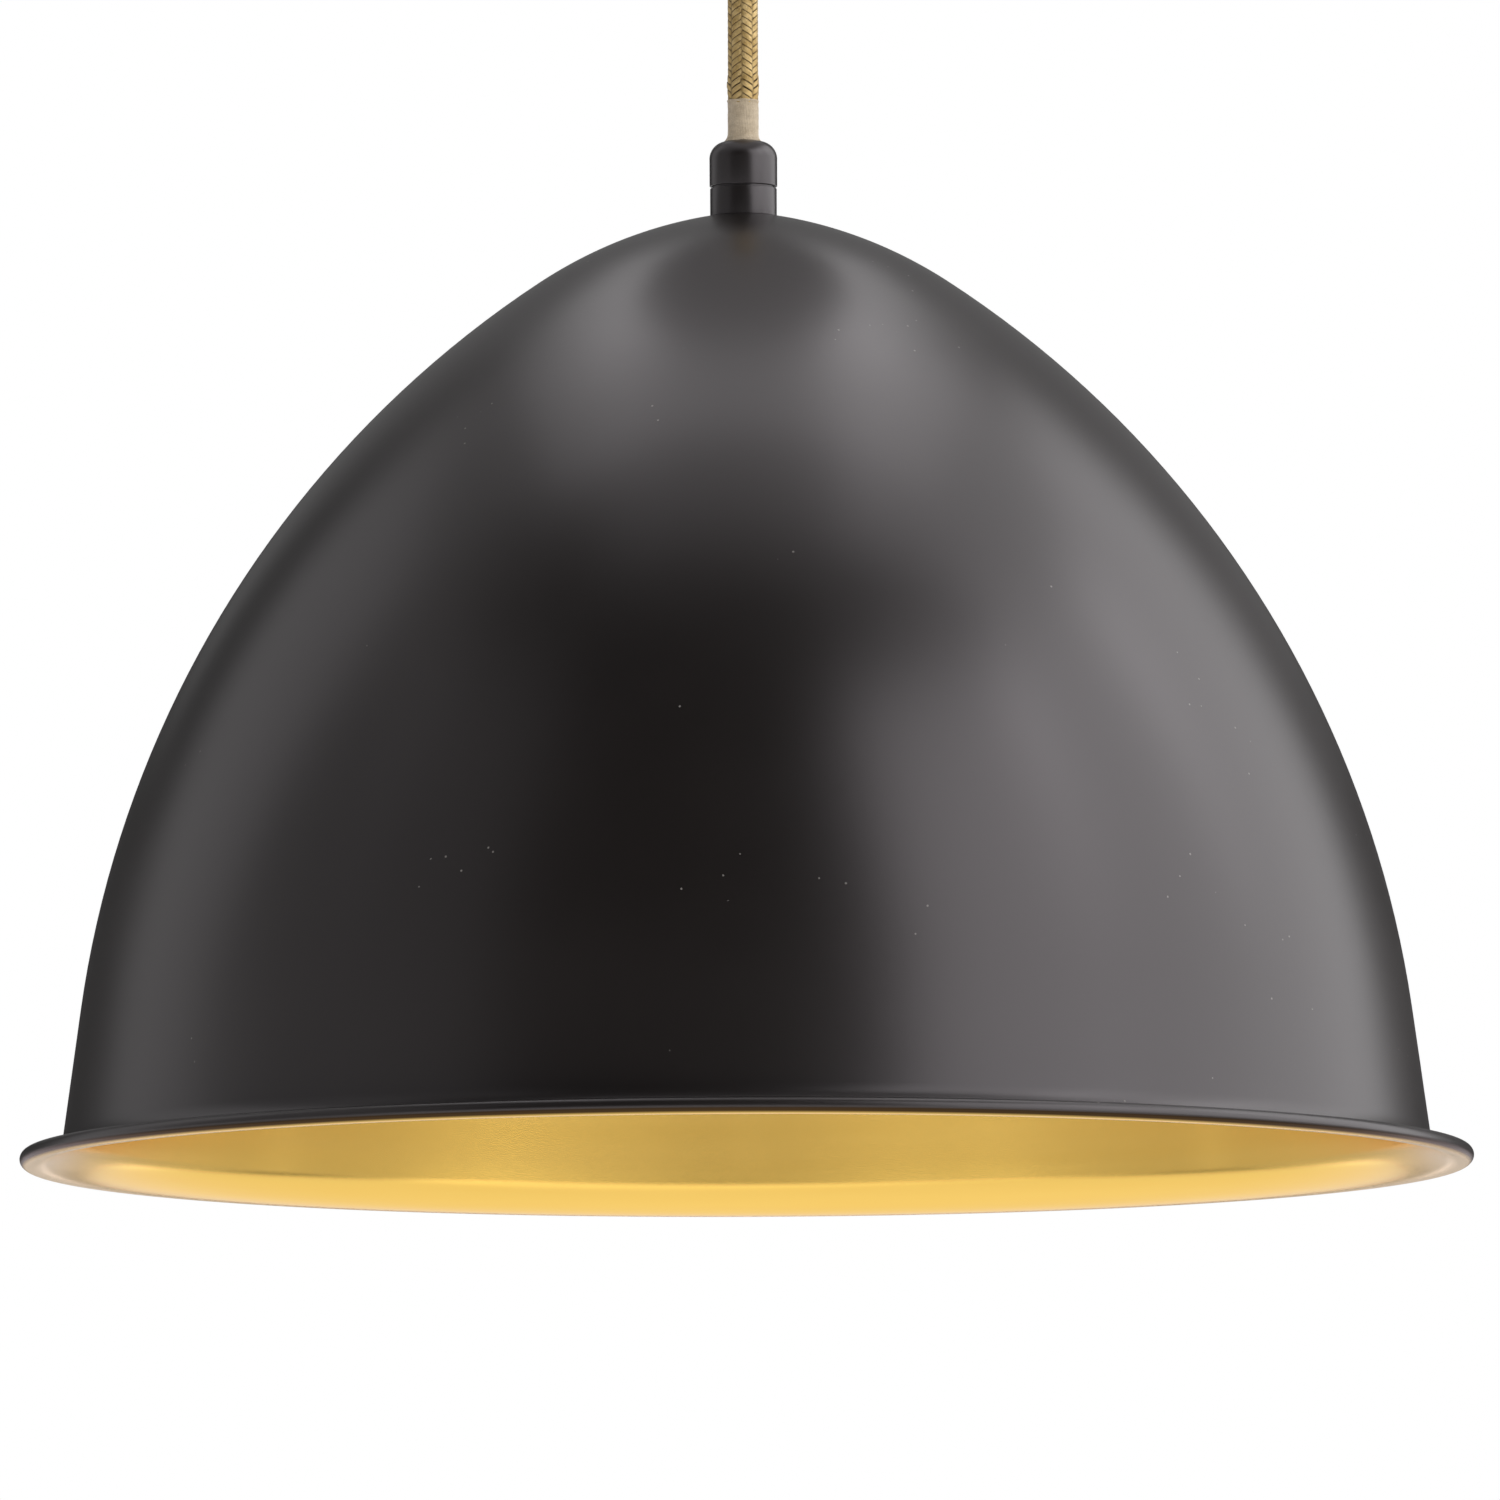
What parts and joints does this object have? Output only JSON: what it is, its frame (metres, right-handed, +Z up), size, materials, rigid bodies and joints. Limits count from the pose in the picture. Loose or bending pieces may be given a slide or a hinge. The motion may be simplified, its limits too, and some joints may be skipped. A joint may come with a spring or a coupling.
{
  "type": "pendant ceiling light",
  "caption": "Deep dome pendant shade, dark bronze outside and gold inside, hung on a braided cord from a round ceiling canopy, with a screw lamp holder and opal lamp.",
  "frame": {"origin": "centre of the crossbar's upper face, in the plane of the ceiling", "axes": "+Z up along the cord and the shade's axis, +X along the crossbar, -Y towards the viewer"},
  "size_m": [0.4064, 0.4063, 0.3835],
  "materials": {
    "zinc_steel": "bright zinc plate",
    "green_screw": "green passivated",
    "bronze_paint": "satin dark bronze",
    "shade_finish": "satin dark bronze outside, satin gold inside",
    "bronze_nut": "satin dark bronze, knurled",
    "collet_nylon": "natural nylon",
    "cord_jacket": "matt flexible sheath",
    "braid_gold": "metallic gold herringbone braid",
    "beige_wrap": "matt woven beige wrap",
    "wire_black": "glossy insulation",
    "wire_white": "glossy insulation",
    "wire_green": "glossy insulation",
    "connector_plastic": "moulded, ribbed",
    "holder_metal": "satin brass",
    "holder_phenolic": "dark moulded phenolic",
    "socket_brass": "pressed brass",
    "lamp_cap_metal": "rolled thread, satin",
    "lamp_insulator": "black glass insulator",
    "lamp_collar": "white moulded",
    "opal_globe": "opal white"
  },
  "bodies": {
    "ceiling_mount": {"crossbar": "zinc_steel", "ground_screw": "green_screw", "canopy": "bronze_paint", "canopy_studs": "zinc_steel", "canopy_nuts": "bronze_nut", "ceiling_nipple": "zinc_steel", "ceiling_lock_washer": "zinc_steel", "ceiling_nut": "zinc_steel", "ceiling_grip_body": "bronze_paint", "ceiling_grip_cap": "bronze_paint", "ceiling_grip_collet": "collet_nylon", "cord_upper": "cord_jacket", "ceiling_live_wire": "wire_black", "ceiling_neutral_wire": "wire_white", "ceiling_ground_wire": "wire_green", "wire_connectors": "connector_plastic"},
    "cord": {"cord_drop": "braid_gold", "cord_sleeve": "beige_wrap"},
    "pendant": {"neck_body": "bronze_paint", "neck_cap": "bronze_paint", "neck_collet": "collet_nylon", "cord_lower": "cord_jacket", "neck_nipple": "zinc_steel", "shade": "shade_finish", "shade_washer": "zinc_steel", "shade_lock_washer": "zinc_steel", "shade_nut": "zinc_steel", "holder_cap": "holder_metal", "holder_set_screw": "zinc_steel", "holder_body": "holder_phenolic", "holder_shell": "socket_brass", "holder_contact": "socket_brass", "holder_terminals": "socket_brass", "holder_live_wire": "wire_black", "holder_neutral_wire": "wire_white", "holder_ground_wire": "wire_green"},
    "bulb_contact": {"bulb_contact": "lamp_cap_metal", "bulb_insulator": "lamp_insulator"},
    "bulb": {"bulb_cap": "lamp_cap_metal", "bulb_collar": "lamp_collar", "bulb_globe": "opal_globe"}
  },
  "joints": [
    {"name": "cord_swing", "type": "hinge", "parent": "ceiling_mount", "child": "cord", "pos_m": [0, 0, -0.0462], "axis": [0, 1, 0], "range_deg": [-30, 30]},
    {"name": "shade_tilt", "type": "hinge", "parent": "cord", "child": "pendant", "pos_m": [0, 0, -0.095], "axis": [1, 0, 0], "range_deg": [-15, 15]},
    {"name": "lamp_travel", "type": "slide", "parent": "pendant", "child": "bulb_contact", "axis": [0, 0, -1], "range_m": [0, 0.01816]},
    {"name": "lamp_turn", "type": "hinge", "parent": "bulb_contact", "child": "bulb", "pos_m": [0, 0, -0.2], "axis": [0, 0, -1], "range_deg": [0, 1800]}
  ],
  "couplings": [
    {"joint": "lamp_travel", "follows": "lamp_turn", "m_per_rad": 0.00057757}
  ]
}
